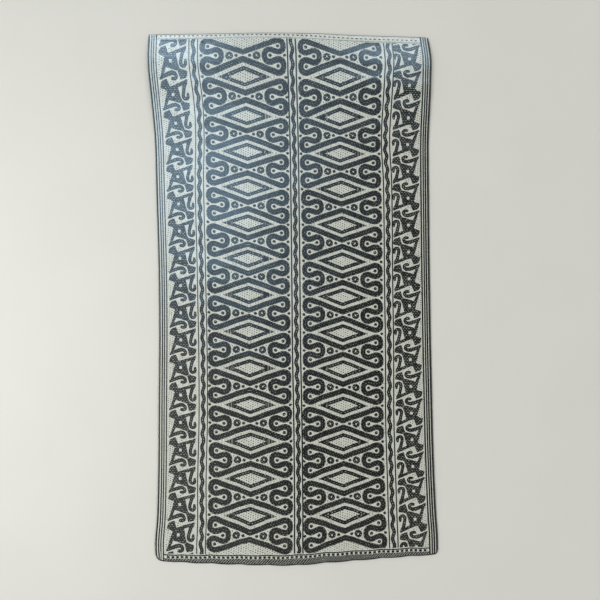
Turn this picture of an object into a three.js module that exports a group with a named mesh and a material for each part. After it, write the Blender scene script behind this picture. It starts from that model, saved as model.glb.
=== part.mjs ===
// A plaited rattan sleeping mat, lying on a floor.
// It is one flat sheet of split rattan, a little over one metre by two. The strips turn back
// along the rim, which is a shade thicker, so the mat has no separate binding.
// +Y runs along the mat towards its head end, +X across it, and +Z points up off the floor.
// The origin is on the floor, under the middle of the mat. All lengths are millimetres.

import * as THREE from "three";

// Thickness of the plait.
const FIELD_THICKNESS = 2.2;
const RIM_THICKNESS = 3.0;
const RIM_WIDTH = 30;

// The rectangle on which the mat's outline is laid out.
const HALF_WIDTH = 535;
const HALF_LENGTH = 1015;

// Where the two long edges run. The mat is drawn in at its waist and spreads towards its ends.
const SIDES = [
  { along: -1000, left: -547, right: 549 },
  { along: -935, left: -546, right: 548 },
  { along: -850, left: -538, right: 543 },
  { along: -700, left: -532, right: 538 },
  { along: -470, left: -527, right: 534 },
  { along: 0, left: -519, right: 531 },
  { along: 470, left: -524, right: 532 },
  { along: 620, left: -527, right: 534 },
  { along: 770, left: -538, right: 542 },
  { along: 870, left: -547, right: 546 },
  { along: 930, left: -549, right: 547 },
  { along: 1010, left: -546, right: 538 },
];

// Where the two ends run. Both bow out in the middle.
const ENDS = [
  { across: -535, foot: -1004, head: 1029 },
  { across: -420, foot: -1014, head: 1028 },
  { across: -140, foot: -1028, head: 1030 },
  { across: 0, foot: -1030, head: 1028 },
  { across: 115, foot: -1022, head: 1024 },
  { across: 240, foot: -1014, head: 1016 },
  { across: 370, foot: -1005, head: 1010 },
  { across: 535, foot: -995, head: 1003 },
];

// Radius of each corner of the outline.
const CORNERS = { footLeft: 26, footRight: 16, headLeft: 7, headRight: 9 };

// The foot end is pulled into shallow scallops between its bundles of strips.
const SCALLOP_PITCH = 110;
const SCALLOP_DEPTH = 3;

// Soft swells where the mat stands off the floor: centre, half spread and height.
const SWELLS = [
  { across: -170, along: 800, wide: 420, long: 95, high: 2.2 },
  { across: 330, along: 830, wide: 260, long: 90, high: 1.8 },
  { across: -130, along: 600, wide: 230, long: 75, high: 1.6 },
  { across: 260, along: 610, wide: 250, long: 70, high: 1.3 },
  { across: -350, along: 470, wide: 190, long: 80, high: 1.4 },
  { across: 40, along: 430, wide: 240, long: 85, high: 1.7 },
  { across: -210, along: 300, wide: 280, long: 80, high: 1.5 },
  { across: 300, along: 260, wide: 220, long: 110, high: 1.0 },
  { across: -300, along: 90, wide: 220, long: 90, high: 1.2 },
  { across: 120, along: 20, wide: 300, long: 100, high: 1.0 },
  { across: -240, along: -250, wide: 260, long: 120, high: 0.9 },
  { across: 280, along: -300, wide: 240, long: 130, high: 0.9 },
  { across: -60, along: -560, wide: 320, long: 120, high: 1.0 },
  { across: 330, along: -740, wide: 220, long: 110, high: 1.0 },
  { across: -340, along: -800, wide: 200, long: 100, high: 1.1 },
];

// Two low ridges near the corners of the head end: a slow rise to each, and a quicker fall to the edge.
const RIDGES = [
  { across: -549, along: 915, wide: 520, rise: 300, fall: 114, high: 7 },
  { across: 540, along: 905, wide: 480, rise: 290, fall: 98, high: 6.5 },
];

// The whole mat lies in very low waves along its length, and touches the floor in their troughs.
const WAVES = { pitch: 376, trough: 188, high: 0.8 };

// The mesh: how far apart its lines are over the field, and where they lie near the rim.
const CELL = 46;
const RIM_LINES = [0, 3, 8, 15, 22, RIM_WIDTH];

// Smooth value of one column of a table between its rows, by a cubic through them.
function readTable(rows, station, column, at) {
  let i = 0;
  while (i < rows.length - 2 && at > rows[i + 1][station]) {
    i += 1;
  }
  const low = rows[i];
  const high = rows[i + 1];
  const before = rows[Math.max(i - 1, 0)];
  const after = rows[Math.min(i + 2, rows.length - 1)];
  const span = high[station] - low[station];
  const slopeLow = (high[column] - before[column]) / (high[station] - before[station]);
  const slopeHigh = (after[column] - low[column]) / (after[station] - low[station]);
  const t = THREE.MathUtils.clamp((at - low[station]) / span, 0, 1);
  const rise = high[column] - low[column];
  const curve = rise * t * t * (3 - 2 * t);
  const lean = slopeLow * t * (1 - t) ** 2 - slopeHigh * (1 - t) * t ** 2;
  return low[column] + curve + lean * span;
}

// Stations from one edge to the other: close together at both rims, even in between.
function stations(half) {
  const inner = half - RIM_WIDTH;
  const count = Math.round((2 * inner) / CELL);
  const low = RIM_LINES.map((line) => line - half);
  const middle = Array.from({ length: count - 1 }, (_, i) => -inner + ((i + 1) * 2 * inner) / count);
  const high = RIM_LINES.map((line) => half - line).reverse();
  return [...low, ...middle, ...high];
}

// Rounds a corner of the rectangle: its square of side radius becomes a quarter disc.
function roundCorner(across, along) {
  const end = along < 0 ? "foot" : "head";
  const side = across < 0 ? "Left" : "Right";
  const radius = CORNERS[end + side];
  const a = Math.abs(across) - (HALF_WIDTH - radius);
  const b = Math.abs(along) - (HALF_LENGTH - radius);
  if (a <= 0 || b <= 0) {
    return [across, along];
  }
  const shrink = Math.max(a, b) / Math.hypot(a, b);
  const newAcross = Math.sign(across) * (HALF_WIDTH - radius + a * shrink);
  const newAlong = Math.sign(along) * (HALF_LENGTH - radius + b * shrink);
  return [newAcross, newAlong];
}

// Where a point of the rectangle lies in the mat's real outline.
function place(rectAcross, rectAlong) {
  const [across, along] = roundCorner(rectAcross, rectAlong);
  const left = readTable(SIDES, "along", "left", along);
  const right = readTable(SIDES, "along", "right", along);
  const x = THREE.MathUtils.mapLinear(across, -HALF_WIDTH, HALF_WIDTH, left, right);
  const scallop = SCALLOP_DEPTH * Math.abs(Math.sin((Math.PI * x) / SCALLOP_PITCH));
  const foot = readTable(ENDS, "across", "foot", across) + SCALLOP_DEPTH - scallop;
  const head = readTable(ENDS, "across", "head", across);
  const y = THREE.MathUtils.mapLinear(along, -HALF_LENGTH, HALF_LENGTH, foot, head);
  return [x, y];
}

// Height of the underside off the floor.
function lift(x, y) {
  const turn = (2 * Math.PI * (y - WAVES.trough)) / WAVES.pitch;
  let height = (WAVES.high * (1 - Math.cos(turn))) / 2;
  for (const swell of SWELLS) {
    const r2 = ((x - swell.across) / swell.wide) ** 2 + ((y - swell.along) / swell.long) ** 2;
    height += r2 < 1 ? swell.high * (1 - r2) ** 2 : 0;
  }
  for (const ridge of RIDGES) {
    const reach = y < ridge.along ? ridge.rise : ridge.fall;
    const r2 = ((x - ridge.across) / ridge.wide) ** 2 + ((y - ridge.along) / reach) ** 2;
    height += r2 < 1 ? ridge.high * (1 - r2) ** 2 : 0;
  }
  return height;
}

// The rim's turned-back strips swell to full thickness and run out softly into the field.
function thicknessAt(rectAcross, rectAlong) {
  const inset = Math.min(HALF_WIDTH - Math.abs(rectAcross), HALF_LENGTH - Math.abs(rectAlong));
  const share = THREE.MathUtils.smoothstep(RIM_WIDTH - inset, 0, RIM_WIDTH / 2);
  return FIELD_THICKNESS + (RIM_THICKNESS - FIELD_THICKNESS) * share;
}

// A closed sheet: an upper and a lower skin over one grid, joined by a wall around the rim.
function sheetGeometry(acrossStations, alongStations) {
  const columns = acrossStations.length;
  const rows = alongStations.length;
  const positions = [];
  const triangles = [];
  for (const layer of [0, 1]) {
    for (const along of alongStations) {
      for (const across of acrossStations) {
        const [x, y] = place(across, along);
        positions.push(x, y, lift(x, y) + layer * thicknessAt(across, along));
      }
    }
  }
  const at = (layer, row, column) => (layer * rows + row) * columns + column;
  const addQuad = (a, b, c, d) => triangles.push(a, b, c, a, c, d);
  for (let row = 0; row < rows - 1; row += 1) {
    for (let column = 0; column < columns - 1; column += 1) {
      addQuad(at(1, row, column), at(1, row, column + 1), at(1, row + 1, column + 1), at(1, row + 1, column));
      addQuad(at(0, row, column), at(0, row + 1, column), at(0, row + 1, column + 1), at(0, row, column + 1));
    }
  }
  const rim = [];
  for (let column = 0; column < columns - 1; column += 1) {
    rim.push([0, column]);
  }
  for (let row = 0; row < rows - 1; row += 1) {
    rim.push([row, columns - 1]);
  }
  for (let column = columns - 1; column > 0; column -= 1) {
    rim.push([rows - 1, column]);
  }
  for (let row = rows - 1; row > 0; row -= 1) {
    rim.push([row, 0]);
  }
  rim.forEach(([row, column], i) => {
    const [nextRow, nextColumn] = rim[(i + 1) % rim.length];
    addQuad(at(0, row, column), at(0, nextRow, nextColumn), at(1, nextRow, nextColumn), at(1, row, column));
  });
  const geometry = new THREE.BufferGeometry();
  geometry.setAttribute("position", new THREE.Float32BufferAttribute(positions, 3));
  geometry.setIndex(triangles);
  geometry.computeVertexNormals();
  return geometry;
}

// Charcoal-black and straw-coloured rattan together read as a mid olive grey.
const rattan = new THREE.MeshStandardMaterial({ color: 0x74726a, roughness: 0.45, metalness: 0 });

const mat = new THREE.Mesh(sheetGeometry(stations(HALF_WIDTH), stations(HALF_LENGTH)), rattan);
mat.name = "mat";

const object = new THREE.Group();
object.name = "rattan_mat";
object.add(mat);

export default object;
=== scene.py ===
"""The looks of a plaited rattan sleeping mat, lying on a plain pale floor.

The mat is one sheet. Its pattern is drawn here on a flat chart, in millimetres, as closed outlines:
two columns of diamonds between scrolled bands, three wavy guard lines, a hooked figure repeated along
both borders, striped sides, and a row of dashes at each end. The chart is cut into triangles along
those outlines, and each triangle gets the strips that show there: black, straw-coloured, or the two
mixed. The chart is then laid into the mat's real outline, lifted where the mat stands off the floor,
and given its thickness.
"""

import math

import bpy
import numpy as np
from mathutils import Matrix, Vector
from mathutils.geometry import delaunay_2d_cdt


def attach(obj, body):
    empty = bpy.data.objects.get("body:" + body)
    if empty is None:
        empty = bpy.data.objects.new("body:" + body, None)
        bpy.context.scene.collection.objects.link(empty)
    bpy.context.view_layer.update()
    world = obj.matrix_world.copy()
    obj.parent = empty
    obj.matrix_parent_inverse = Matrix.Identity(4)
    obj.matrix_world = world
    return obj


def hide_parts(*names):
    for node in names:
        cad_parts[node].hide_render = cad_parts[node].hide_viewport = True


MM = 0.001

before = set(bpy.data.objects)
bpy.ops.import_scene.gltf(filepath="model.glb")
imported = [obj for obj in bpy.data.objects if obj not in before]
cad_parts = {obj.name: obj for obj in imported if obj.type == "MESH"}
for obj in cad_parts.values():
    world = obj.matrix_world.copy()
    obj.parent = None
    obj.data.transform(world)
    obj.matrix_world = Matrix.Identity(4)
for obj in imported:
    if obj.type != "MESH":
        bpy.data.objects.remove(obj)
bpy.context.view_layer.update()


# ------------ the sheet, as in its solid
# All lengths down to the cameras and lights are millimetres.

FIELD_THICKNESS = 2.2
RIM_THICKNESS = 3.0
RIM_WIDTH = 30

HALF_WIDTH = 535
HALF_LENGTH = 1015

# Where the two long edges run.
SIDES = [
    {"along": -1000, "left": -547, "right": 549},
    {"along": -935, "left": -546, "right": 548},
    {"along": -850, "left": -538, "right": 543},
    {"along": -700, "left": -532, "right": 538},
    {"along": -470, "left": -527, "right": 534},
    {"along": 0, "left": -519, "right": 531},
    {"along": 470, "left": -524, "right": 532},
    {"along": 620, "left": -527, "right": 534},
    {"along": 770, "left": -538, "right": 542},
    {"along": 870, "left": -547, "right": 546},
    {"along": 930, "left": -549, "right": 547},
    {"along": 1010, "left": -546, "right": 538},
]

# Where the two ends run.
ENDS = [
    {"across": -535, "foot": -1004, "head": 1029},
    {"across": -420, "foot": -1014, "head": 1028},
    {"across": -140, "foot": -1028, "head": 1030},
    {"across": 0, "foot": -1030, "head": 1028},
    {"across": 115, "foot": -1022, "head": 1024},
    {"across": 240, "foot": -1014, "head": 1016},
    {"across": 370, "foot": -1005, "head": 1010},
    {"across": 535, "foot": -995, "head": 1003},
]

CORNERS = {"foot_left": 26, "foot_right": 16, "head_left": 7, "head_right": 9}

SCALLOP_PITCH = 110
SCALLOP_DEPTH = 3

# Soft swells where the mat stands off the floor: centre, half spread and height.
SWELLS = [
    {"across": -170, "along": 800, "wide": 420, "long": 95, "high": 2.2},
    {"across": 330, "along": 830, "wide": 260, "long": 90, "high": 1.8},
    {"across": -130, "along": 600, "wide": 230, "long": 75, "high": 1.6},
    {"across": 260, "along": 610, "wide": 250, "long": 70, "high": 1.3},
    {"across": -350, "along": 470, "wide": 190, "long": 80, "high": 1.4},
    {"across": 40, "along": 430, "wide": 240, "long": 85, "high": 1.7},
    {"across": -210, "along": 300, "wide": 280, "long": 80, "high": 1.5},
    {"across": 300, "along": 260, "wide": 220, "long": 110, "high": 1.0},
    {"across": -300, "along": 90, "wide": 220, "long": 90, "high": 1.2},
    {"across": 120, "along": 20, "wide": 300, "long": 100, "high": 1.0},
    {"across": -240, "along": -250, "wide": 260, "long": 120, "high": 0.9},
    {"across": 280, "along": -300, "wide": 240, "long": 130, "high": 0.9},
    {"across": -60, "along": -560, "wide": 320, "long": 120, "high": 1.0},
    {"across": 330, "along": -740, "wide": 220, "long": 110, "high": 1.0},
    {"across": -340, "along": -800, "wide": 200, "long": 100, "high": 1.1},
]

# Two low ridges near the corners of the head end: a slow rise to each, and a quicker fall to the edge.
RIDGES = [
    {"across": -549, "along": 915, "wide": 520, "rise": 300, "fall": 114, "high": 7},
    {"across": 540, "along": 905, "wide": 480, "rise": 290, "fall": 98, "high": 6.5},
]

# The whole mat lies in very low waves along its length, and touches the floor in their troughs.
WAVES = {"pitch": 376, "trough": 188, "high": 0.8}


def read_table(rows, station, column, at):
    """Smooth values of one column of a table between its rows, by a cubic through them."""
    place = np.array([row[station] for row in rows], float)
    value = np.array([row[column] for row in rows], float)
    i = np.clip(np.searchsorted(place, at, side="left") - 1, 0, len(rows) - 2)
    before = np.maximum(i - 1, 0)
    after = np.minimum(i + 2, len(rows) - 1)
    span = place[i + 1] - place[i]
    slope_low = (value[i + 1] - value[before]) / (place[i + 1] - place[before])
    slope_high = (value[after] - value[i]) / (place[after] - place[i])
    t = np.clip((at - place[i]) / span, 0, 1)
    curve = (value[i + 1] - value[i]) * t * t * (3 - 2 * t)
    lean = slope_low * t * (1 - t) ** 2 - slope_high * (1 - t) * t**2
    return value[i] + curve + lean * span


def round_corners(across, along):
    """Rounds the four corners of the chart: a square at each becomes a quarter disc."""
    radius = np.where(
        along < 0,
        np.where(across < 0, CORNERS["foot_left"], CORNERS["foot_right"]),
        np.where(across < 0, CORNERS["head_left"], CORNERS["head_right"]),
    )
    a = np.abs(across) - (HALF_WIDTH - radius)
    b = np.abs(along) - (HALF_LENGTH - radius)
    inside = (a > 0) & (b > 0)
    shrink = np.where(inside, np.maximum(a, b) / np.maximum(np.hypot(a, b), 1e-9), 1)
    new_across = np.sign(across) * (HALF_WIDTH - radius + a * shrink)
    new_along = np.sign(along) * (HALF_LENGTH - radius + b * shrink)
    return np.where(inside, new_across, across), np.where(inside, new_along, along)


def lay_out(chart_across, chart_along):
    """Where points of the chart lie in the mat's real outline."""
    across, along = round_corners(chart_across, chart_along)
    left = read_table(SIDES, "along", "left", along)
    right = read_table(SIDES, "along", "right", along)
    x = left + (right - left) * (across + HALF_WIDTH) / (2 * HALF_WIDTH)
    scallop = SCALLOP_DEPTH * np.abs(np.sin(math.pi * x / SCALLOP_PITCH))
    foot = read_table(ENDS, "across", "foot", across) + SCALLOP_DEPTH - scallop
    head = read_table(ENDS, "across", "head", across)
    y = foot + (head - foot) * (along + HALF_LENGTH) / (2 * HALF_LENGTH)
    return x, y


def lift(x, y):
    """Height of the underside off the floor."""
    turn = 2 * math.pi * (y - WAVES["trough"]) / WAVES["pitch"]
    height = WAVES["high"] * (1 - np.cos(turn)) / 2
    for s in SWELLS:
        r2 = ((x - s["across"]) / s["wide"]) ** 2 + ((y - s["along"]) / s["long"]) ** 2
        height += s["high"] * np.clip(1 - r2, 0, 1) ** 2
    for r in RIDGES:
        from_crest = (y - r["along"]) / np.where(y < r["along"], r["rise"], r["fall"])
        r2 = ((x - r["across"]) / r["wide"]) ** 2 + from_crest**2
        height += r["high"] * np.clip(1 - r2, 0, 1) ** 2
    return height


def thickness_at(chart_across, chart_along):
    """The rim's turned-back strips swell it to full thickness."""
    inset = np.minimum(HALF_WIDTH - np.abs(chart_across), HALF_LENGTH - np.abs(chart_along))
    share = np.clip((RIM_WIDTH - inset) / (RIM_WIDTH / 2), 0, 1)
    share = share * share * (3 - 2 * share)
    return FIELD_THICKNESS + (RIM_THICKNESS - FIELD_THICKNESS) * share


# ------------ drawing on the chart

# The kinds of ground. GROUNDS, further down, says what each looks like.
BLACK, DEEP, DOT, STRAW, HATCHED, GREY, LINED = range(7)

FLECK_ROW = 7.4  # how far apart the rows of flecks are
HATCH_SLOPE = 32.0  # how steeply the rows of flecks climb in a hatched ground, in degrees
STEP_LONGEST = 20.0  # the longest stretch of an outline with no point on it
BAND_STEP = 6.0  # how far apart the points of a curved band are
SLIMMEST = 0.5  # a shape slimmer than this is left out


def smooth_path(rows, step):
    """Points and widths along a curve through rows of (x, y, width), about step apart."""
    points = [np.array(row, float) for row in rows]
    path = []
    for i in range(len(points) - 1):
        p1, p2 = points[i], points[i + 1]
        p0 = points[i - 1] if i else 2 * p1 - p2
        p3 = points[i + 2] if i + 2 < len(points) else 2 * p2 - p1
        count = max(1, round(math.hypot(*(p2 - p1)[:2]) / step))
        for k in range(count):
            t = k / count
            square = (2 * p0 - 5 * p1 + 4 * p2 - p3) * t**2
            cube = (3 * p1 - p0 - 3 * p2 + p3) * t**3
            path.append(0.5 * (2 * p1 + (p2 - p0) * t + square + cube))
    return np.array(path + [points[-1]])


def two_sides(path, level_ends=False):
    """The left and right outlines of a band along a path of (x, y, width).

    With level ends, the band is cut off along y = 0 at both ends, ready for its mirror image.
    """
    ahead = np.gradient(path[:, :2], axis=0)
    ahead /= np.linalg.norm(ahead, axis=1)[:, None]
    normal = np.stack([-ahead[:, 1], ahead[:, 0]], axis=1)
    if level_ends:
        for end in (0, -1):
            normal[end] = (0, 1 / normal[end][1])
    offset = normal * path[:, 2:3] / 2
    return path[:, :2] + offset, path[:, :2] - offset


def circle(x, y, radius, count):
    turn = np.arange(count) * 2 * math.pi / count
    return np.stack([x + radius * np.cos(turn), y + radius * np.sin(turn)], axis=1)


def dot(x, y, size):
    """A small square with its corners cut off."""
    turn = (np.arange(8) + 0.5) * math.pi / 4
    reach = size / 2 / math.cos(math.pi / 8)
    return np.stack([x + reach * np.cos(turn), y + reach * np.sin(turn)], axis=1)


def rectangle(x0, y0, x1, y1):
    return np.array([(x0, y0), (x1, y0), (x1, y1), (x0, y1)], float)


def lattice(points):
    """Flecks in level rows."""
    return points


def slanted(points):
    """Flecks in rows that climb to the right."""
    slope = math.radians(HATCH_SLOPE)
    x, y = points[:, 0], points[:, 1]
    along = x * math.cos(slope) + y * math.sin(slope)
    out = y * math.cos(slope) - x * math.sin(slope)
    return np.stack([along, out], axis=1)


def along_path(path):
    """Flecks that follow a path, one row on its middle: a point's distance along it, and out from it."""
    line = path[:, :2]
    steps = np.diff(line, axis=0)
    lengths = np.linalg.norm(steps, axis=1)
    travelled = np.concatenate([[0], np.cumsum(lengths)])

    def weave(points):
        rel = points[:, None, :] - line[None, :-1, :]
        t = np.clip((rel * steps).sum(2) / lengths**2, 0, 1)
        away = rel - t[..., None] * steps
        best = np.argmin(np.hypot(away[..., 0], away[..., 1]), axis=1)
        n = np.arange(len(points))
        a, d = t[n, best], away[n, best]
        side = np.sign(steps[best, 0] * d[:, 1] - steps[best, 1] * d[:, 0])
        out = side * np.hypot(d[:, 0], d[:, 1]) + FLECK_ROW / 2
        return np.stack([travelled[best] + a * lengths[best], out], axis=1)

    return weave


def closely_pointed(outline):
    """The same outline, with points at most STEP_LONGEST apart, so that it bends as the mat does."""
    points = []
    for start, end in zip(outline, np.roll(outline, -1, axis=0)):
        count = max(1, math.ceil(math.dist(start, end) / STEP_LONGEST))
        points += [start + (end - start) * k / count for k in range(count)]
    return np.array(points)


class Place:
    """Where a motif sits on the chart: its middle, its stretch, the lean of its rows, and its turn."""

    def __init__(self, x=0.0, y=0.0, wide=1.0, up=1.0, down=1.0, lean=0.0, turned=False):
        self.x, self.y, self.wide, self.up, self.down, self.lean = x, y, wide, up, down, lean
        self.sign = -1 if turned else 1

    def on_chart(self, points):
        """Where points of the motif lie on the chart."""
        p = np.asarray(points, float) * self.sign
        across = p[:, 0] * self.wide
        along = p[:, 1] * np.where(p[:, 1] > 0, self.up, self.down)
        return np.stack([self.x + across, self.y + along + across * self.lean], axis=1)

    def local(self, points):
        """Where points of the chart lie on the motif."""
        across = points[:, 0] - self.x
        along = points[:, 1] - self.y - across * self.lean
        along = along / np.where(along > 0, self.up, self.down)
        return np.stack([across / self.wide, along], axis=1) * self.sign


class Chart:
    """The shapes drawn so far. A later shape covers the ones before it."""

    def __init__(self):
        self.shapes = []

    def draw(self, points, strips, place, weave=lattice):
        """A closed outline, filled with one kind of ground. Its weave says where its flecks run."""
        outline = closely_pointed(place.on_chart(points))
        outline[:, 0] = np.clip(outline[:, 0], -HALF_WIDTH, HALF_WIDTH)
        outline[:, 1] = np.clip(outline[:, 1], -HALF_LENGTH, HALF_LENGTH)
        if np.ptp(outline, axis=0).min() > SLIMMEST:
            self.shapes.append({"outline": outline, "strips": strips, "place": place, "weave": weave})

    def band(self, rows, strips, place, step=BAND_STEP):
        """A band of strips along a smooth path through rows of (x, y, width)."""
        path = smooth_path(rows, step)
        left, right = two_sides(path)
        self.draw(np.concatenate([left, right[::-1]]), strips, place, along_path(path))


# ------------ the diamond columns

# The middle line of each column, and how much wider than charted it is.
COLUMNS = [
    {"name": "left", "middle": -175.5, "wide": 1.03},
    {"name": "right", "middle": 190.5, "wide": 1.0},
]
UNIT = 141.0  # nominal length of one repeat, from diamond to diamond

# Where the repeats lie along the mat. Whole units are hooks, and halves are diamonds.
STATIONS = [
    {"unit": 0, "left": 931, "right": 929},
    {"unit": 0.5, "left": 848, "right": 850},
    {"unit": 1.5, "left": 698, "right": 696},
    {"unit": 2.5, "left": 562, "right": 556},
    {"unit": 4.5, "left": 289, "right": 281},
    {"unit": 5.5, "left": 155, "right": 141},
    {"unit": 6.5, "left": 16, "right": 3},
    {"unit": 8.5, "left": -264, "right": -274},
    {"unit": 10.5, "left": -544, "right": -556},
    {"unit": 12.5, "left": -828, "right": -835},
    {"unit": 13, "left": -905, "right": -911},
]
LAST_UNIT = 13

# How far each column drifts sideways along the mat, and how many mm its rows climb in 100 mm.
DRIFT = [
    {"along": -850, "left": -2, "right": -6, "left_lean": 0, "right_lean": -3},
    {"along": -600, "left": 0, "right": -6, "left_lean": 1.5, "right_lean": -4},
    {"along": -300, "left": -3, "right": -3, "left_lean": 0, "right_lean": -5.5},
    {"along": 150, "left": -5, "right": 0, "left_lean": -1.2, "right_lean": -3},
    {"along": 350, "left": -1, "right": 0, "left_lean": -4, "right_lean": -1},
    {"along": 600, "left": 1, "right": -3, "left_lean": -3.5, "right_lean": 1.5},
    {"along": 800, "left": 3, "right": -2, "left_lean": -2, "right_lean": 5},
    {"along": 950, "left": -1, "right": 1, "left_lean": 0, "right_lean": 0.5},
]

# A quarter of the scrolled band that runs round every hook unit, from the point of its chevron
# out to the side, round the outer eye, and back in round the inner eye: x, y and width.
SCROLL = [
    (0, 12.5, 21.0),
    (50, 29.9, 21.0),
    (85, 42.7, 21.0),
    (100, 48, 21.2),
    (117, 53.9, 21.6),
    (130, 57.2, 21.8),
    (143.5, 51.5, 22.0),
    (148.8, 36, 20.2),
    (145.3, 20.5, 21.6),
    (132, 13.2, 21.6),
    (117, 16.3, 21.6),
    (101, 21.8, 21.2),
    (88.5, 19.2, 21.4),
    (80.2, 10.3, 20.2),
    (78.8, 0, 19.8),
]
OUTER_EYE = (128.5, 35.1)
INNER_EYE = (99.5, 0)
EYE = 12.6  # size of both

# The other marks of a hook unit: how far out they lie, and how far off its middle line.
DISC = {"out": 50, "radius": 14.7, "points": 20, "heart": 2.8, "heart_points": 8}
INNER_DOT = {"out": 25, "size": 12.2}
SIDE_DOT = {"out": 152.8, "size": 11.4}
SPECK = {"out": 64, "off": 15.5, "size": 3.6}

# A diamond unit, from its middle to its corners: a ring, and a thin frame round it.
RING_OUTER = {"wide": 99.5, "high": 36}
RING_INNER = {"wide": 58, "high": 21.2}
RING_THICK = 13.5
FRAME_LINE = {"wide": 122, "high": 43, "width": 4.2}
SLANT_LENGTH = 1.07  # length along a diamond's side, for each mm across

# The straw triangle at each end of a column: where its tip and its base lie, half its width, and
# the share of the way to its base at which its sides turn straight.
END_TRIANGLE = {"tip": 24.0, "base": 96.0, "half": 150.0, "shoulder": 0.72}


def diamond(wide, high):
    return np.array([(wide, 0), (0, high), (-wide, 0), (0, -high)], float)


def station(unit, column):
    """How far along the chart the middle of a unit lies."""
    rows = STATIONS
    low = max(0, min(len(rows) - 2, sum(1 for row in rows if row["unit"] <= unit) - 1))
    a, b = rows[low], rows[low + 1]
    t = (unit - a["unit"]) / (b["unit"] - a["unit"])
    return a[column] + (b[column] - a[column]) * t


def scroll_ring():
    """The whole closed band of a hook unit: its outer and inner outlines, and its flecks."""
    upper = smooth_path(SCROLL, BAND_STEP)
    lower = upper[::-1][1:] * (1, -1, 1)
    half = np.concatenate([upper, lower])
    outer, inner = two_sides(half, level_ends=True)
    follow = along_path(half)

    def whole(side):
        return np.concatenate([side, side[::-1][1:-1] * (-1, 1)])

    return whole(outer), whole(inner), lambda p: follow(np.abs(p) * (1, 0) + p * (0, 1))


def ring_weave(points):
    """One row of flecks along the middle of a diamond's ring."""
    x, y = np.abs(points[:, 0]), np.abs(points[:, 1])
    level = x / RING_OUTER["wide"] + y / RING_OUTER["high"]
    inner = RING_INNER["high"] / RING_OUTER["high"]
    out = (level - (1 + inner) / 2) / (1 - inner) * RING_THICK
    out += np.where(x > RING_INNER["wide"], FLECK_ROW, 0)
    return np.stack([x * SLANT_LENGTH, out + FLECK_ROW / 2], axis=1)


def frame_weave(points):
    """One row of flecks along a diamond's frame line."""
    along = np.abs(points[:, 0]) * SLANT_LENGTH
    return np.stack([along, np.full(len(points), FLECK_ROW / 2)], axis=1)


def draw_hook_unit(chart, place, ring):
    outer, inner, weave = ring
    chart.draw(outer, DEEP, place, weave)
    chart.draw(inner, STRAW, place)
    for side in (-1, 1):
        chart.draw(dot(side * INNER_EYE[0], 0, EYE), BLACK, place)
        for end in (-1, 1):
            chart.draw(dot(side * OUTER_EYE[0], end * OUTER_EYE[1], EYE), BLACK, place)
            chart.draw(dot(side * SPECK["out"], end * SPECK["off"], SPECK["size"]), DOT, place)
        chart.draw(circle(side * DISC["out"], 0, DISC["radius"], DISC["points"]), BLACK, place)
        chart.draw(circle(side * DISC["out"], 0, DISC["heart"], DISC["heart_points"]), STRAW, place)
        chart.draw(dot(side * INNER_DOT["out"], 0, INNER_DOT["size"]), BLACK, place)
        chart.draw(dot(side * SIDE_DOT["out"], 0, SIDE_DOT["size"]), BLACK, place)


def draw_diamond(chart, place):
    outer = diamond(FRAME_LINE["wide"], FRAME_LINE["high"])
    chart.draw(outer, LINED, place, frame_weave)
    slim = 1 - FRAME_LINE["width"] / FRAME_LINE["high"]
    chart.draw(outer * slim, STRAW, place)
    chart.draw(diamond(**RING_OUTER), BLACK, place, ring_weave)
    chart.draw(diamond(**RING_INNER), HATCHED, place, slanted)
    for side in (-1, 1):
        chart.draw(dot(side * SIDE_DOT["out"], 0, SIDE_DOT["size"]), BLACK, place)


def draw_end_triangle(chart, place, outward):
    """The straw triangle between the last chevron and the end of the mat."""
    tip, base = END_TRIANGLE["tip"] * outward, END_TRIANGLE["base"] * outward
    half = END_TRIANGLE["half"]
    rows = [(0, tip), (half, base * END_TRIANGLE["shoulder"]), (half, base)]
    points = rows + [(-x, y) for x, y in rows[:0:-1]]
    chart.draw(np.array(points, float), HATCHED, place, slanted)


def draw_column(chart, column):
    ring = scroll_ring()
    name = column["name"]

    def place(unit, first=False, last=False):
        y = station(unit, name)
        up = 1.0 if first else (station(unit - 0.5, name) - y) / (UNIT / 2)
        down = 1.0 if last else (y - station(unit + 0.5, name)) / (UNIT / 2)
        middle = column["middle"] + read_table(DRIFT, "along", name, y)
        lean = read_table(DRIFT, "along", name + "_lean", y) / 100
        return Place(middle, y, column["wide"], up, down, lean)

    draw_end_triangle(chart, place(0, first=True), 1)
    draw_end_triangle(chart, place(LAST_UNIT, last=True), -1)
    for unit in range(LAST_UNIT + 1):
        draw_hook_unit(chart, place(unit, unit == 0, unit == LAST_UNIT), ring)
    for unit in range(LAST_UNIT):
        draw_diamond(chart, place(unit + 0.5))


# ------------ guard lines and side stripes

# Each guard is a wavy band between two thin lines. Its crests are numbered from the foot end
# up, and each pair says how far along the mat the crest of that number lies.
GUARDS = {
    "left": {
        "lines": (-379, -346.3),
        "line_width": 4.0,
        "wave": -362.5,
        "crests": [(0, -1022), (2, -914), (9, -544), (19, -17), (29, 504), (33, 711), (37, 949), (39, 1066)],
    },
    "centre": {
        "lines": (-8, 23.8),
        "line_width": 5.6,
        "wave": 8.2,
        "crests": [(0, -1011), (2, -901), (9, -529), (19, -7), (29, 507), (33, 714), (37, 955), (39, 1074)],
    },
    "right": {
        "lines": (354.2, 386.4),
        "line_width": 4.8,
        "wave": 369.9,
        "crests": [(0, -1022), (2, -914), (9, -555), (19, -28), (29, 497), (32, 652), (36, 884), (39, 1056)],
    },
}
WAVE_WIDTH = 14.2
WAVE_SWING = 3.4  # how far a wave swings out to each side
WAVE_STEP = 9.0  # how far apart the points that shape it are

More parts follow.
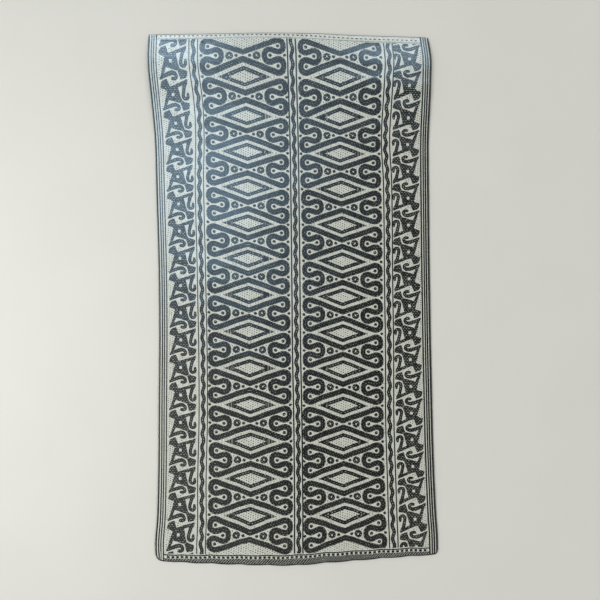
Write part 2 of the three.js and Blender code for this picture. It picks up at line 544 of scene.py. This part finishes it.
# How far each guard sways sideways along the mat.
SWAY = [
    {"along": -900, "left": 2, "centre": 0, "right": -3},
    {"along": -700, "left": -2, "centre": 1, "right": -2},
    {"along": -450, "left": 3, "centre": 1, "right": -3},
    {"along": -200, "left": 1, "centre": -2, "right": 1},
    {"along": 0, "left": -2, "centre": -2, "right": 1},
    {"along": 450, "left": -2, "centre": 1, "right": 2},
    {"along": 600, "left": 4, "centre": 1, "right": -5},
    {"along": 750, "left": 8, "centre": 0, "right": -1},
    {"along": 900, "left": 0, "centre": 1, "right": 6},
]

# The lines along each side: how far in from the rim each lies, and its width on the left and right.
SIDE_LINES = [
    {"inset": 4.7, "left": 6.4, "right": 8.0},
    {"inset": 14.6, "left": 5.2, "right": 6.4},
    {"inset": 22.8, "left": 4.6, "right": 5.6},
    {"inset": 32.0, "left": 4.8, "right": 6.0},
]
LINE_STEP = 20.0  # how far apart the points of a line along the mat are


def upright(x, wide, step=LINE_STEP):
    """Rows of a line along the whole mat. Its x may be a number or a function of y."""
    count = math.ceil(2 * HALF_LENGTH / step)
    ys = [-HALF_LENGTH + 2 * HALF_LENGTH * i / count for i in range(count + 1)]
    return [(x(y) if callable(x) else x, y, wide) for y in ys]


def draw_guard(chart, name, guard):
    numbers, crests = zip(*guard["crests"])

    def sway(y):
        return read_table(SWAY, "along", name, y)

    def wave(y):
        turns = np.interp(y, crests, numbers)
        return guard["wave"] + sway(y) + WAVE_SWING * math.cos(2 * math.pi * turns)

    for line in guard["lines"]:
        chart.band(upright(lambda y, x=line: x + sway(y), guard["line_width"]), DOT, Place(), LINE_STEP)
    chart.band(upright(wave, WAVE_WIDTH, WAVE_STEP), BLACK, Place())


def draw_side_lines(chart):
    for side, name in ((-1, "left"), (1, "right")):
        for line in SIDE_LINES:
            middle = side * (HALF_WIDTH - line["inset"])
            chart.band(upright(middle, line[name]), DOT, Place(), LINE_STEP)


# ------------ the hooked border figure

# How far across the chart the figures' eyes lie.
BORDERS = {"left": -448.5, "right": 452.0}
FIGURE = 120.0  # length of one repeat as charted

# How far along the chart they lie. The figures are numbered from the head end down.
FIGURES = {
    "left": [
        (0, 912), (1, 782), (2, 673), (3, 572), (10, -161),
        (14, -585), (15, -694), (16, -794), (17, -911),
    ],
    "right": [
        (0, 927), (1, 823), (2, 697), (3, 595), (11, -248),
        (15, -666), (16, -761), (17, -872), (18, -980),
    ],
}

# One figure, charted about its eye. Its black parts are three blocks, given by their corners, and
# two hooked bands, given by x, y and width.
HEAD = [
    (-20, 56), (-36, 50), (-42, 42), (-44.5, 32), (-45, 23), (-30, 18), (-22, 12), (21, 26),
    (40, 32), (60, 56), (50, 52), (30, 43.5), (10, 35.5), (0, 31), (-9, 29), (-18, 55),
]
BODY = [
    (-22, 13), (-26, 0), (-31, -20), (-36, -40), (-44, -67), (-26, -44), (-21, -31),
    (-18, -22), (0, -28), (25, -36), (33.5, -26), (28, -8), (21, 27),
]
BLOCK = [
    (33, -27), (55, -34), (61, -37), (61.5, -42), (59, -54),
    (55, -61), (36, -67), (33, -66), (28, -44), (25, -37),
]
ARM = [
    (-44, -67, 3), (-36, -58.3, 13), (-24, -51.8, 15), (-10, -46, 17.5), (0, -43, 17.5), (9, -43, 17),
    (15.5, -47, 14.5), (19, -54, 13), (17.5, -60, 13.5), (12, -63.5, 14.5), (5, -63.5, 14.5), (-1, -61.5, 9),
]
HOOK = [
    (58, 52, 4), (53, 42, 10.5), (45.5, 30, 13.5), (43, 20, 13.5), (41, 10, 12.5), (38.8, 0, 13),
    (39, -10, 13.5), (43.5, -17.5, 14), (51, -18, 13.5), (56, -12, 12.5), (56.5, -4, 11.5), (56, 7, 7),
]
HOOKED_STEP = 5.0  # how far apart the points of the two hooked bands are
FIGURE_EYE = {"wide": 10.0, "high": 12.5}

# The hatched grounds behind the figure and in front of it.
BACK_FIELD = [(-48, 22), (-22, 12), (-44, -66), (-48, -66)]
FRONT_FIELD = [(-13, 50), (-7, 34), (28, 47.5), (16, 47.5), (5, 46)]


def border_stations(rows):
    """The eye of every figure, from the head end to the foot, with one more beyond each end."""
    places = []
    for (unit, y), (next_unit, next_y) in zip(rows, rows[1:]):
        for k in range(next_unit - unit):
            places.append(y + (next_y - y) * k / (next_unit - unit))
    places.append(rows[-1][1])
    first, last = places[0] - places[1], places[-2] - places[-1]
    return [places[0] + first, *places, places[-1] - last]


def draw_figure(chart, place):
    for field in (BACK_FIELD, FRONT_FIELD):
        chart.draw(field, HATCHED, place, slanted)
    for part in (HEAD, BODY, BLOCK):
        chart.draw(part, BLACK, place)
    for part in (ARM, HOOK):
        chart.band(part, BLACK, place, HOOKED_STEP)
    x, y = FIGURE_EYE["wide"] / 2, FIGURE_EYE["high"] / 2
    chart.draw(rectangle(-x, -y, x, y), STRAW, place)


def draw_border(chart, name):
    eyes = border_stations(FIGURES[name])
    for i, y in enumerate(eyes):
        before = eyes[i - 1] if i else 2 * eyes[0] - eyes[1]
        after = eyes[i + 1] if i + 1 < len(eyes) else 2 * eyes[-1] - eyes[-2]
        up, down = (before - y) / FIGURE, (y - after) / FIGURE
        draw_figure(chart, Place(BORDERS[name], y, up=up, down=down, turned=name == "right"))


# ------------ the two ends

END_REACH = 501.0  # the end bands stop at the side lines
END_STEP = 20.0  # how far apart the points of a line across the mat are
DASH_PITCH = 17.3
FOOT_DASH = {"wide": 10.4, "high": 8.4}
FOOT_DASH_ROW = 10.0  # width of the straw row that the dashes lie in
# The black line along the foot's edge is partly its outermost black strip, partly painted contact shadow
# under the edge.
FOOT_RIM_LINE_AND_SHADOW = 4.6

# The foot's band is widest near its middle: how far in from the edge its dash row lies.
FOOT_BOW = {"middle": 40.0, "spread": 500.0, "inset": 18.0, "more": 12.0}
FOOT_THIN_LINE = {"beyond": 8.3, "wide": 3.6}  # past the dash row
FOOT_FIELD = 13.0  # where the pattern starts, past the dash row

# The head's dash row lies a little further in towards the right.
HEAD_ROW = [
    {"across": -500, "inset": 6.0},
    {"across": -300, "inset": 6.5},
    {"across": -100, "inset": 6.0},
    {"across": 60, "inset": 8.5},
    {"across": 160, "inset": 11.5},
    {"across": 500, "inset": 13.5},
]
HEAD_DASH = {"wide": 8.0, "high": 4.0}
HEAD_THIN_LINE = {"beyond": 10.0, "wide": 1.8}  # past the dash row
HEAD_FIELD = 13.0  # where the pattern starts, past the dash row
# The thin black line along the head's edge is partly the mat's dark edge, partly painted contact shadow
# there.
HEAD_RIM_LINE_AND_SHADOW = 1.6


def foot_row(x, beyond=0.0):
    """How far along the chart the foot's dash row lies, or a row beyond it."""
    bow = 1 - ((x - FOOT_BOW["middle"]) / FOOT_BOW["spread"]) ** 2
    return -HALF_LENGTH + FOOT_BOW["inset"] + FOOT_BOW["more"] * max(0.0, bow) + beyond


def end_row(y_at, wide):
    """Rows of a line across the mat."""
    count = math.ceil(2 * END_REACH / END_STEP)
    xs = [-END_REACH + 2 * END_REACH * i / count for i in range(count + 1)]
    return [(x, y_at(x), wide) for x in xs]


def draw_dashes(chart, row, dash):
    """A row of short black dashes across the mat."""
    count = int(2 * END_REACH / DASH_PITCH)
    for i in range(count):
        x = (i - (count - 1) / 2) * DASH_PITCH
        y, half_wide, half_high = row(x), dash["wide"] / 2, dash["high"] / 2
        chart.draw(rectangle(x - half_wide, y - half_high, x + half_wide, y + half_high), DOT, Place())


def fill_to_end(chart, row, beyond, strips):
    """Fills the mat from a row across it to that end."""
    line = [(x, y) for x, y, _ in end_row(lambda x: row(x, beyond), 0)]
    end = math.copysign(HALF_LENGTH, line[0][1])
    chart.draw(line + [(END_REACH, end), (-END_REACH, end)], strips, Place())


def draw_thin_line(chart, row, line, strips):
    path = end_row(lambda x: row(x, line["beyond"]), line["wide"])
    chart.band(path, strips, Place(), END_STEP)


def draw_foot_end(chart):
    fill_to_end(chart, foot_row, FOOT_FIELD, STRAW)
    # The band out to the foot's edge is grey: partly its own mixed strips, partly painted shade where the
    # hem curves down to the floor.
    fill_to_end(chart, foot_row, FOOT_THIN_LINE["beyond"], GREY)
    draw_thin_line(chart, foot_row, FOOT_THIN_LINE, DOT)
    chart.band(end_row(foot_row, FOOT_DASH_ROW), STRAW, Place(), END_STEP)
    draw_dashes(chart, foot_row, FOOT_DASH)


# Partly the outermost black strip, partly painted contact shadow along the foot's edge.
def draw_foot_rim_and_shadow(chart):
    line = rectangle(-HALF_WIDTH, -HALF_LENGTH, HALF_WIDTH, FOOT_RIM_LINE_AND_SHADOW - HALF_LENGTH)
    chart.draw(line, DOT, Place())


def head_row(x, beyond=0.0):
    """How far along the chart the head's dash row lies, or a row beyond it."""
    return HALF_LENGTH - float(read_table(HEAD_ROW, "across", "inset", x)) - beyond


def draw_head_end(chart):
    fill_to_end(chart, head_row, HEAD_FIELD, STRAW)
    draw_thin_line(chart, head_row, HEAD_THIN_LINE, GREY)
    draw_dashes(chart, head_row, HEAD_DASH)
    # Partly the mat's dark edge, partly painted contact shadow along the head's edge.
    line = rectangle(-END_REACH, HALF_LENGTH - HEAD_RIM_LINE_AND_SHADOW, END_REACH, HALF_LENGTH)
    chart.draw(line, DOT, Place())


# ------------ cutting the chart into faces

GRID = 20.0  # how far apart the points are that fill the chart between its outlines
RIM_STEP = 10.0  # how far apart the points round its rim are
SAME_POINT = 0.02  # points closer than this become one


def whole_chart():
    chart = Chart()
    count_x = round(2 * HALF_WIDTH / RIM_STEP)
    count_y = round(2 * HALF_LENGTH / RIM_STEP)
    xs = np.linspace(-HALF_WIDTH, HALF_WIDTH, count_x + 1)
    ys = np.linspace(-HALF_LENGTH, HALF_LENGTH, count_y + 1)
    rim = [(x, -HALF_LENGTH) for x in xs] + [(HALF_WIDTH, y) for y in ys[1:]]
    rim += [(x, HALF_LENGTH) for x in xs[-2::-1]] + [(-HALF_WIDTH, y) for y in ys[-2:0:-1]]
    chart.draw(np.array(rim), STRAW, Place())
    for name in BORDERS:
        draw_border(chart, name)
    for name, guard in GUARDS.items():
        draw_guard(chart, name, guard)
    for column in COLUMNS:
        draw_column(chart, column)
    for low, high in ((END_REACH, HALF_WIDTH), (-HALF_WIDTH, -END_REACH)):
        chart.draw(rectangle(low, -HALF_LENGTH, high, HALF_LENGTH), STRAW, Place())
    draw_head_end(chart)
    draw_foot_end(chart)
    draw_side_lines(chart)
    draw_foot_rim_and_shadow(chart)
    return chart


def covers(outline, points):
    """Which points an outline runs round."""
    x, y = points[:, :1], points[:, 1:]
    x0, y0 = outline.T
    x1, y1 = np.roll(outline, -1, axis=0).T
    crossing = (y0 > y) != (y1 > y)
    rise = np.where(y1 == y0, 1, y1 - y0)
    right = x < x0 + (y - y0) / rise * (x1 - x0)
    return np.where(crossing & right, np.sign(y1 - y0), 0).sum(axis=1) != 0


def cut(chart):
    """Triangles of the chart, and for each the number of the shape that shows there."""
    points, edges = [], []
    for shape in chart.shapes:
        start, count = len(points), len(shape["outline"])
        points.extend(Vector(p) for p in shape["outline"])
        edges.extend((start + i, start + (i + 1) % count) for i in range(count))
    for x in np.arange(-HALF_WIDTH + GRID, HALF_WIDTH, GRID):
        for y in np.arange(-HALF_LENGTH + GRID, HALF_LENGTH, GRID):
            points.append(Vector((x, y)))
    verts, _, tris, _, _, _ = delaunay_2d_cdt(points, edges, [], 0, SAME_POINT, False)
    verts, tris = np.array([tuple(v) for v in verts]), np.array([tuple(t) for t in tris])
    middles = verts[tris].mean(axis=1)
    shape_of = np.zeros(len(tris), int)
    for number, shape in enumerate(chart.shapes):
        low, high = shape["outline"].min(axis=0), shape["outline"].max(axis=0)
        near = np.flatnonzero(((middles > low) & (middles < high)).all(axis=1))
        shape_of[near[covers(shape["outline"], middles[near])]] = number
    return verts, tris, shape_of


# ------------ the sheet as a mesh

RIM_BULGE = 0.7  # how far the middle of the rim stands out
RIM_SOFTNESS = 0.5  # how far the top of the rim is rounded down
SHARP_ANGLE = 50  # degrees

# Gentle ripples across the mat, in the flat parts between the swells.
RIPPLES = [
    {"high": 0.30, "across": 610, "along": 86, "turn": 0.4},
    {"high": 0.22, "across": -340, "along": 61, "turn": 2.1},
    {"high": 0.18, "across": 270, "along": 143, "turn": 4.0},
]
RIPPLE_REST = 0.5

SHAPE_SHIFT = 3.7  # no two shapes have their flecks at the same places

# Where in the unit square the bake lies: a strip for each skin, and the wall's edges and its middle.
BAKE = {"top": (0.002, 0.72), "under": (0.745, 0.998), "wall": (0.728, 0.738)}


def ripple(x, y):
    height = np.full_like(x, RIPPLE_REST)
    for r in RIPPLES:
        height += r["high"] * np.sin(2 * math.pi * (x / r["across"] + y / r["along"]) + r["turn"])
    return np.clip(height, 0, None)


def rim_loop(tris):
    """The points round the chart, in order, seen from above and anticlockwise."""
    sides = np.concatenate([tris[:, [0, 1]], tris[:, [1, 2]], tris[:, [2, 0]]])
    seen = {tuple(side) for side in sides.tolist()}
    follows = {a: b for a, b in seen if (b, a) not in seen}
    loop = [min(follows)]
    while follows[loop[-1]] != loop[0]:
        loop.append(follows[loop[-1]])
    return np.array(loop)


def weave_at_corners(chart, verts, tris, shape_of):
    """Where every corner of every triangle lies along and across its shape's rows of flecks."""
    weave = np.zeros((len(tris), 3, 2))
    for number in np.unique(shape_of):
        shape = chart.shapes[number]
        mine = np.flatnonzero(shape_of == number)
        points = shape["place"].local(verts[tris[mine]].reshape(-1, 2))
        weave[mine] = shape["weave"](points).reshape(-1, 3, 2) + (number * SHAPE_SHIFT, 0)
    return weave


def bake_square(chart_points, low, high):
    """The chart laid in a strip of the unit square: its length along u, its width from low to high."""
    u = (chart_points[:, 1] + HALF_LENGTH) / (2 * HALF_LENGTH)
    v = (chart_points[:, 0] + HALF_WIDTH) / (2 * HALF_WIDTH)
    return np.stack([u, low + (high - low) * v], axis=1)


def sheet_points(verts, loop):
    """The points of the upper skin, then of the lower skin, then round the middle of the rim."""
    x, y = lay_out(verts[:, 0], verts[:, 1])
    low = lift(x, y) + ripple(x, y)
    high = low + thickness_at(verts[:, 0], verts[:, 1])
    high[loop] -= RIM_SOFTNESS
    middle = np.stack([x[loop], y[loop], (low[loop] + high[loop]) / 2], axis=1)
    outward = np.roll(middle, -1, axis=0) - np.roll(middle, 1, axis=0)
    outward = np.stack([outward[:, 1], -outward[:, 0]], axis=1)
    middle[:, :2] += RIM_BULGE * outward / np.linalg.norm(outward, axis=1)[:, None]
    return np.concatenate([np.stack([x, y, high], 1), np.stack([x, y, low], 1), middle])


def sheet_faces(tris, loop, count):
    """The faces of the upper skin, then of the lower skin, then two rows of them round the rim."""
    ahead = np.roll(loop, -1)
    middle = 2 * count + np.arange(len(loop))
    middle_ahead = np.roll(middle, -1)
    upper = np.stack([middle, middle_ahead, ahead, loop], axis=1)
    lower = np.stack([loop + count, ahead + count, middle_ahead, middle], axis=1)
    return [*tris.tolist(), *(tris[:, ::-1] + count).tolist(), *upper.tolist(), *lower.tolist()]


def add_maps(mesh, chart, verts, tris, shape_of, loop):
    """The mesh's UV maps: its place in the bake, its place on the chart, and the rows of flecks."""
    corner_point = np.zeros(len(mesh.loops), int)
    mesh.loops.foreach_get("vertex_index", corner_point)
    on_chart = np.concatenate([verts, verts, verts[loop]])[corner_point]
    skin = 3 * len(tris)
    top, under, wall = slice(0, skin), slice(skin, 2 * skin), slice(2 * skin, None)

    weave = weave_at_corners(chart, verts, tris, shape_of)
    woven = np.zeros((len(corner_point), 2))
    woven[top] = weave.reshape(-1, 2)
    woven[under] = weave[:, ::-1].reshape(-1, 2)
    woven[wall] = (0, FLECK_ROW)

    square = bake_square(on_chart, *BAKE["top"])
    square[under] = bake_square(on_chart[under], *BAKE["under"])
    square[wall, 1] = np.where(corner_point[wall] < 2 * len(verts), *BAKE["wall"])
    for name, values in (("OFBake", square), ("Chart", on_chart), ("Weave", woven)):
        mesh.uv_layers.new(name=name).data.foreach_set("uv", values.astype("f").ravel())


def add_grounds(mesh, chart, shape_of):
    """How dark each face is, and how strong its flecks. Underneath, black and straw change places."""
    shows = [GROUNDS[chart.shapes[number]["strips"]] for number in shape_of]
    wall = len(mesh.polygons) - 2 * len(shows)
    for name in ("dark", "flecks"):
        top = np.array([ground[name] for ground in shows])
        under = 1 - top if name == "dark" else top
        values = np.concatenate([top, under, np.full(wall, GROUNDS[DOT][name])])
        mesh.attributes.new(name, "FLOAT", "FACE").data.foreach_set("value", values.astype("f"))


def build_mat():
    chart = whole_chart()
    verts, tris, shape_of = cut(chart)
    loop = rim_loop(tris)
    mesh = bpy.data.meshes.new("mat_sheet")
    mesh.from_pydata(sheet_points(verts, loop) * MM, [], sheet_faces(tris, loop, len(verts)))
    mesh.shade_smooth()
    mesh.set_sharp_from_angle(angle=math.radians(SHARP_ANGLE))
    add_maps(mesh, chart, verts, tris, shape_of, loop)
    add_grounds(mesh, chart, shape_of)
    mat = bpy.data.objects.new("plaited_mat", mesh)
    bpy.context.collection.objects.link(mat)
    mat.data.materials.append(plaited_rattan())
    return mat


# ------------ what the strips look like

# The share of each ground's strips that are black, and how strong its contrasting flecks are.
GROUNDS = {
    BLACK: {"dark": 1.0, "flecks": 0.34},
    DEEP: {"dark": 1.0, "flecks": 0.18},
    DOT: {"dark": 1.0, "flecks": 0.0},
    # A straw ground's faint dark flecks are painted shade: the small shadows of the weave's crossings.
    STRAW: {"dark": 0.0, "flecks": 0.3},
    HATCHED: {"dark": 0.0, "flecks": 1.1},
    GREY: {"dark": 0.84, "flecks": 0.2},
    LINED: {"dark": 0.0, "flecks": 0.35},
}
MIX = {"u": 3.0, "v": 2.0}  # a grey ground repeats after so many strips of each set
STRIP = 2.4  # width of a strip
ROW_SEED = 91.7  # keeps the chances of one row of flecks apart from the next row's
FLECK = {"pitch": 11.0, "long": 5.6, "wide": 2.8, "faintest": 0.3, "soft_end": 0.4, "soft_side": 0.3}

# A strip's relief: the share of its width that an edge takes, how many strips it runs over before
# it goes under, the share of that run that each end takes, and how much of its height it loses there.
RELIEF = {"edge": 0.14, "run": 3.0, "end": 0.12, "dip": 0.5}
RELIEF_HEIGHT = 0.08
# Painted shade: the colour itself is darkened in the hollows between strips and where a strip dips under.
HOLLOW_SHADE = 0.3  # how much darker the hollows between strips are

# The two tones between which the strips of each colour vary.
STRAW_TONES = ((0.65, 0.68, 0.63, 1), (0.57, 0.575, 0.50, 1))
BLACK_TONES = ((0.002, 0.0035, 0.0025, 1), (0.009, 0.010, 0.0095, 1))
GLOSS = {"Roughness": 0.24, "Specular IOR Level": 0.5}


class Nodes:
    """The shader nodes of one material, with short names for the ones used here."""

    def __init__(self, name):
        self.material = bpy.data.materials.new(name)
        self.material.use_nodes = True
        self.tree = self.material.node_tree
        self.shader = self.tree.nodes["Principled BSDF"]

    def make(self, kind, **settings):
        node = self.tree.nodes.new(kind)
        for name, value in settings.items():
            setattr(node, name, value)
        return node

    def feed(self, socket, value):
        if isinstance(value, bpy.types.NodeSocket):
            self.tree.links.new(value, socket)
        else:
            socket.default_value = value

    def math(self, operation, *values):
        node = self.make("ShaderNodeMath", operation=operation)
        for socket, value in zip(node.inputs, values):
            self.feed(socket, value)
        return node.outputs[0]

    def ramp(self, value, start, end):
        """0 at start, rising evenly to 1 at end."""
        node = self.make("ShaderNodeMapRange")
        self.feed(node.inputs["Value"], value)
        node.inputs["From Min"].default_value = start
        node.inputs["From Max"].default_value = end
        return node.outputs[0]

    def uv(self, name):
        split = self.make("ShaderNodeSeparateXYZ")
        self.feed(split.inputs[0], self.make("ShaderNodeUVMap", uv_map=name).outputs[0])
        return split.outputs[0], split.outputs[1]

    def attribute(self, name):
        return self.make("ShaderNodeAttribute", attribute_name=name).outputs["Fac"]

    def chance(self, value):
        """A number from 0 to 1 that looks random, and is the same for the same value."""
        node = self.make("ShaderNodeTexWhiteNoise", noise_dimensions="1D")
        self.feed(node.inputs["W"], value)
        return node.outputs["Value"]

    def noise(self, vector, scale):
        node = self.make("ShaderNodeTexNoise")
        self.feed(node.inputs["Vector"], vector)
        node.inputs["Scale"].default_value = scale
        return node.outputs["Fac"]

    def blend(self, share, a, b):
        """Colour a where share is 0, and b where it is 1."""
        node = self.make("ShaderNodeMix", data_type="RGBA")
        self.feed(node.inputs["Factor"], share)
        self.feed(node.inputs["A"], a)
        self.feed(node.inputs["B"], b)
        return node.outputs["Result"]

    def scale(self, colour, by):
        node = self.make("ShaderNodeVectorMath", operation="SCALE")
        self.feed(node.inputs[0], colour)
        self.feed(node.inputs["Scale"], by)
        return node.outputs[0]


def fleck_cover(n, strength):
    """How far flecks cover a spot: short dashes in staggered rows, and of uneven strength. In a straw ground
    they are faint spots of painted shade, and elsewhere strips of the other colour.
    """
    along, out = n.uv("Weave")
    row = n.math("FLOOR", n.math("DIVIDE", out, FLECK_ROW))
    turn = n.math("ADD", n.math("DIVIDE", along, FLECK["pitch"]), n.math("MULTIPLY", row, 0.5))
    from_middle = n.math("ABSOLUTE", n.math("SUBTRACT", n.math("FRACT", turn), 0.5))
    from_end = n.math("SUBTRACT", n.math("MULTIPLY", from_middle, FLECK["pitch"]), FLECK["long"] / 2)
    height = n.math("FRACT", n.math("DIVIDE", out, FLECK_ROW))
    from_row = n.math("ABSOLUTE", n.math("SUBTRACT", height, 0.5))
    from_side = n.math("SUBTRACT", n.math("MULTIPLY", from_row, FLECK_ROW), FLECK["wide"] / 2)
    end = n.ramp(from_end, FLECK["soft_end"], -FLECK["soft_end"])
    side = n.ramp(from_side, FLECK["soft_side"], -FLECK["soft_side"])
    shape = n.math("MULTIPLY", end, side)
    luck = n.chance(n.math("ADD", n.math("FLOOR", turn), n.math("MULTIPLY", row, ROW_SEED)))
    uneven = n.math("ADD", FLECK["faintest"], n.math("MULTIPLY", luck, 2 * (1 - FLECK["faintest"])))
    return n.math("MULTIPLY", shape, n.math("MINIMUM", 1.0, n.math("MULTIPLY", uneven, strength)))


def plait(n):
    """How many strips along each spot is, in both slanting sets, and the numbers of its two strips."""
    x, y = n.uv("Chart")
    step = STRIP * math.sqrt(2)
    u = n.math("DIVIDE", n.math("SUBTRACT", x, y), step)
    v = n.math("DIVIDE", n.math("ADD", x, y), step)
    return u, v, n.math("FLOOR", u), n.math("FLOOR", v)


def strip_relief(n, u, v, strip):
    """Height of a strip: flat, with edges that fall away, and a dip where it goes under."""
    across = n.math("FRACT", u)
    edge = n.math("MINIMUM", across, n.math("SUBTRACT", 1.0, across))
    round_top = n.ramp(edge, 0.0, RELIEF["edge"])
    run = n.math("FRACT", n.math("DIVIDE", n.math("ADD", v, strip), RELIEF["run"]))
    end = n.math("MINIMUM", run, n.math("SUBTRACT", 1.0, run))
    over = n.math("MULTIPLY", RELIEF["dip"], n.ramp(end, 0.0, RELIEF["end"]))
    return n.math("MULTIPLY", round_top, n.math("ADD", 1.0 - RELIEF["dip"], over))


def plaited_rattan():
    n = Nodes("plaited rattan")
    u, v, strip_u, strip_v = plait(n)

    # Which strip is on top: black ones in a dark ground, and five in six of them in a grey one.
    row = n.math("MULTIPLY", n.math("FLOORED_MODULO", strip_u, MIX["u"]), MIX["v"])
    order = n.math("ADD", row, n.math("FLOORED_MODULO", strip_v, MIX["v"]))
    order = n.math("DIVIDE", n.math("ADD", order, 0.5), MIX["u"] * MIX["v"])
    ground = n.math("LESS_THAN", order, n.attribute("dark"))
    flecks = fleck_cover(n, n.attribute("flecks"))
    dark = n.math("ABSOLUTE", n.math("SUBTRACT", ground, flecks))

    # Black strips run one way, and straw-coloured ones the other.
    relief = n.make("ShaderNodeMix")
    n.feed(relief.inputs["Factor"], dark)
    n.feed(relief.inputs["A"], strip_relief(n, v, u, strip_v))
    n.feed(relief.inputs["B"], strip_relief(n, u, v, strip_u))
    relief = relief.outputs["Result"]

    straw = n.blend(n.chance(strip_v), *STRAW_TONES)
    black = n.blend(n.chance(strip_u), *BLACK_TONES)
    # Painted shade in the colour: darker where a strip's relief falls, at its edges and where it dips under.
    painted_shade = n.math("ADD", 1.0 - HOLLOW_SHADE, n.math("MULTIPLY", HOLLOW_SHADE, relief))
    n.feed(n.shader.inputs["Base Color"], n.scale(n.blend(dark, straw, black), painted_shade))

    bump = n.make("ShaderNodeBump")
    bump.inputs["Distance"].default_value = RELIEF_HEIGHT * MM
    n.feed(bump.inputs["Height"], relief)
    n.feed(n.shader.inputs["Normal"], bump.outputs[0])
    for name, value in GLOSS.items():
        n.shader.inputs[name].default_value = value
    return n.material


mat = build_mat()
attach(mat, "root")
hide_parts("mat")


# ------------ floor, light and camera
# From here on in metres.

FLOOR = {"reach": 8.0, "patches": 3.0, "roughness": 0.9}
FLOOR_TONES = ((0.66, 0.66, 0.62, 1), (0.70, 0.70, 0.66, 1))


def pale_floor():
    reach = FLOOR["reach"]
    corners = [(-reach, -reach, 0), (reach, -reach, 0), (reach, reach, 0), (-reach, reach, 0)]
    mesh = bpy.data.meshes.new("floor")
    mesh.from_pydata(corners, [], [(0, 1, 2, 3)])
    floor = bpy.data.objects.new("floor", mesh)
    bpy.context.collection.objects.link(floor)
    n = Nodes("pale floor")
    tone = n.noise(n.make("ShaderNodeTexCoord").outputs["Object"], FLOOR["patches"])
    n.feed(n.shader.inputs["Base Color"], n.blend(tone, *FLOOR_TONES))
    n.shader.inputs["Roughness"].default_value = FLOOR["roughness"]
    mesh.materials.append(n.material)


# The panes of the window that the mat's sheen mirrors, hung level above it, and how bright each is.
PANES = [
    {"name": "near", "across": -0.85, "along": 1.13, "wide": 0.95, "long": 0.50, "bright": 10.0},
    {"name": "near right", "across": -0.02, "along": 1.18, "wide": 0.64, "long": 0.45, "bright": 3.5},
    {"name": "middle", "across": -0.78, "along": 0.57, "wide": 1.04, "long": 0.56, "bright": 5.8},
    {"name": "low", "across": -0.72, "along": 0.05, "wide": 1.06, "long": 0.45, "bright": 2.0},
    {"name": "far left", "across": -1.05, "along": 2.30, "wide": 0.95, "long": 0.85, "bright": 15.0},
    {"name": "far", "across": -0.07, "along": 2.35, "wide": 0.90, "long": 0.80, "bright": 3.0},
    {"name": "far right", "across": 0.90, "along": 2.30, "wide": 0.95, "long": 0.85, "bright": 9.0},
]
PANE_HEIGHT = 2.3
PANE_COLOUR = (0.48, 0.75, 1.0)

# A long pale screen to the left, much dimmer than the window.
SCREEN = {"middle": (-0.95, -1.15, 2.3), "size": (1.2, 1.9), "bright": 0.6, "colour": (0.9, 0.97, 1.0)}

SIDE_LIGHT = {"middle": (-1.6, -0.2, 1.6), "size": (0.8, 1.6), "power": 12, "colour": (0.96, 0.98, 1.0)}

# The room's light fades from its full strength to what comes from overhead, between two angles
# above the horizon, given by their sines.
ROOM_FADE = {"From Min": 0.75, "From Max": 0.90, "To Min": 1.22, "To Max": 0.08}
ROOM_COLOUR = (1.0, 0.99, 0.96, 1)

CAMERA = {"place": (0.027, -0.0042, 2.322), "turn": -0.77, "lens": 36, "sensor": 36}


def soft_panel(name, middle, size, power, colour):
    light = bpy.data.lights.new(name, "AREA")
    light.shape = "RECTANGLE"
    light.size, light.size_y = size
    light.energy = power
    light.color = colour
    panel = bpy.data.objects.new(name, light)
    panel.location = middle
    bpy.context.collection.objects.link(panel)
    return panel


def sheen_panel(name, middle, size, bright, colour):
    """A panel that lights gloss only. Its brightness is given, in place of its power."""
    panel = soft_panel(name, middle, size, bright * math.pi * size[0] * size[1], colour)
    panel.visible_diffuse = False


def window_panes():
    for pane in PANES:
        middle = (pane["across"], pane["along"], PANE_HEIGHT)
        size = (pane["wide"], pane["long"])
        sheen_panel(pane["name"] + " pane", middle, size, pane["bright"], PANE_COLOUR)


def soft_room():
    """Light from all round, weaker from straight overhead."""
    world = bpy.data.worlds.new("room")
    world.use_nodes = True
    nodes, links = world.node_tree.nodes, world.node_tree.links
    split = nodes.new("ShaderNodeSeparateXYZ")
    links.new(nodes.new("ShaderNodeTexCoord").outputs["Generated"], split.inputs[0])
    ramp = nodes.new("ShaderNodeMapRange")
    ramp.interpolation_type = "SMOOTHSTEP"
    links.new(split.outputs["Z"], ramp.inputs["Value"])
    for name, value in ROOM_FADE.items():
        ramp.inputs[name].default_value = value
    links.new(ramp.outputs[0], nodes["Background"].inputs["Strength"])
    nodes["Background"].inputs["Color"].default_value = ROOM_COLOUR
    bpy.context.scene.world = world


def camera_above():
    """Straight above the mat, looking down."""
    data = bpy.data.cameras.new("camera")
    data.lens = CAMERA["lens"]
    data.sensor_width = CAMERA["sensor"]
    camera = bpy.data.objects.new("camera", data)
    camera.location = CAMERA["place"]
    camera.rotation_euler = (0, 0, math.radians(CAMERA["turn"]))
    bpy.context.collection.objects.link(camera)
    bpy.context.scene.camera = camera


pale_floor()
soft_room()
window_panes()
sheen_panel("pale screen", **SCREEN)
soft_panel("side light", **SIDE_LIGHT)
camera_above()
bpy.context.scene.view_settings.view_transform = "Standard"
